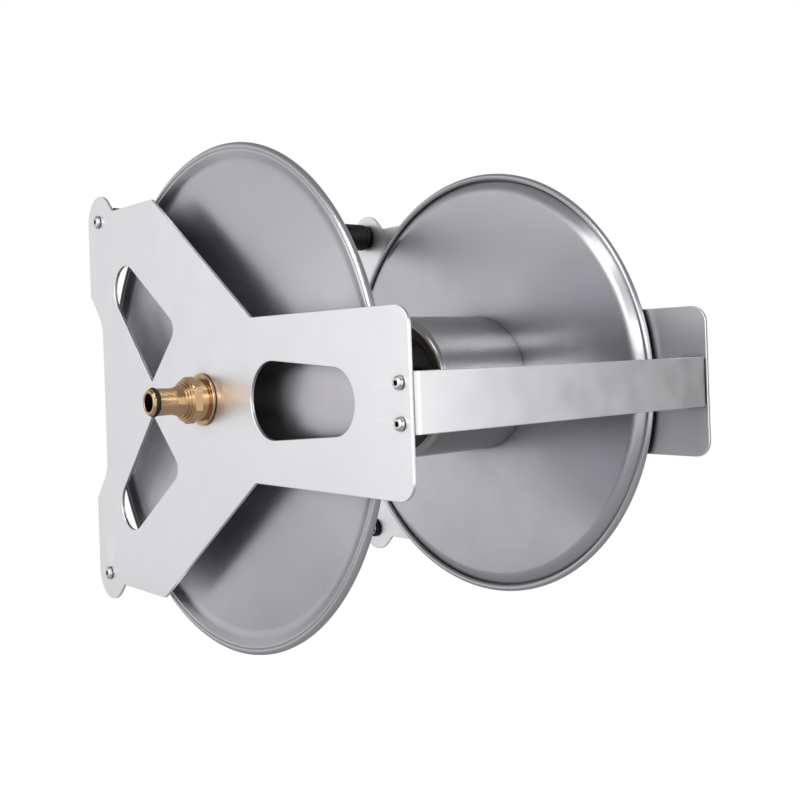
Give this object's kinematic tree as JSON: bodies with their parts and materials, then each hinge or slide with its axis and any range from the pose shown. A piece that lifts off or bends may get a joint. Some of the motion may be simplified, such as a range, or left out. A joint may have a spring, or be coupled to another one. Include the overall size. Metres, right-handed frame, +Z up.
{
  "type": "hose reel",
  "caption": "Wall-mounted metal hose reel: flat side plates carry a turning drum between two discs, with a brass water inlet on one side and a crank on the other.",
  "frame": {"origin": "on the wall plane that the plates' rear edges rest against, at the height of the drum's axis and midway between the side plates", "axes": "+X along the drum's axis from the water inlet to the crank, +Y into the wall, +Z up"},
  "size_m": [0.3571, 0.336, 0.3],
  "materials": {
    "aluminium": "satin anodised",
    "satin_steel": "satin",
    "bright_steel": "bright zinc plated",
    "brass": "turned, bright",
    "black_rubber": "matt",
    "black_plastic": "moulded, matt",
    "white_plastic": "turned, matt"
  },
  "bodies": {
    "frame": {"left_side_plate": "aluminium", "right_side_plate": "aluminium", "front_bar": "aluminium", "front_bar_screw_left_lower": "bright_steel", "front_bar_screw_left_upper": "bright_steel", "front_bar_screw_right_lower": "bright_steel", "front_bar_screw_right_upper": "bright_steel", "front_bar_nut_left_lower": "bright_steel", "front_bar_nut_left_upper": "bright_steel", "front_bar_nut_right_lower": "bright_steel", "front_bar_nut_right_upper": "bright_steel", "upper_rod": "bright_steel", "upper_rod_sleeve": "black_rubber", "upper_rod_screw_left": "bright_steel", "upper_rod_screw_right": "bright_steel", "lower_ear_bolt_left": "bright_steel", "lower_ear_bush_left": "black_rubber", "lower_ear_washer_left": "bright_steel", "lower_ear_nut_left": "bright_steel", "lower_ear_bolt_right": "bright_steel", "lower_ear_bush_right": "black_rubber", "lower_ear_washer_right": "bright_steel", "lower_ear_nut_right": "bright_steel", "water_inlet": "brass", "nozzle_seal": "black_rubber", "swivel_seal_inner": "black_rubber", "swivel_seal_outer": "black_rubber", "inlet_locknut": "brass", "right_bush": "white_plastic"},
    "drum": {"left_bush": "white_plastic", "left_disc": "satin_steel", "left_hub_flange": "aluminium", "left_hub_screw_1": "bright_steel", "left_hub_screw_2": "bright_steel", "left_hub_screw_3": "bright_steel", "left_hub_screw_4": "bright_steel", "left_set_screw": "bright_steel", "left_drum": "satin_steel", "left_drum_cap": "black_plastic", "right_disc": "satin_steel", "right_hub_flange": "aluminium", "right_hub_screw_1": "bright_steel", "right_hub_screw_2": "bright_steel", "right_hub_screw_3": "bright_steel", "right_hub_screw_4": "bright_steel", "right_set_screw": "bright_steel", "right_drum": "satin_steel", "right_drum_cap": "black_plastic", "axle_tube": "bright_steel", "crank_shaft": "bright_steel", "crank_shaft_pin": "bright_steel", "outlet_elbow": "brass", "crank_arm": "satin_steel", "crank_washer": "bright_steel", "crank_screw": "bright_steel", "crank_grip_pin": "bright_steel", "crank_grip_nut": "bright_steel"},
    "grip": {"crank_grip": "black_plastic"}
  },
  "joints": [
    {"name": "drum_spin", "type": "hinge", "parent": "frame", "child": "drum", "pos_m": [0, -0.1505, 0], "axis": [1, 0, 0], "continuous": true},
    {"name": "crank_grip_spin", "type": "hinge", "parent": "drum", "child": "grip", "pos_m": [0.1653, -0.1505, -0.09], "axis": [1, 0, 0], "continuous": true}
  ]
}
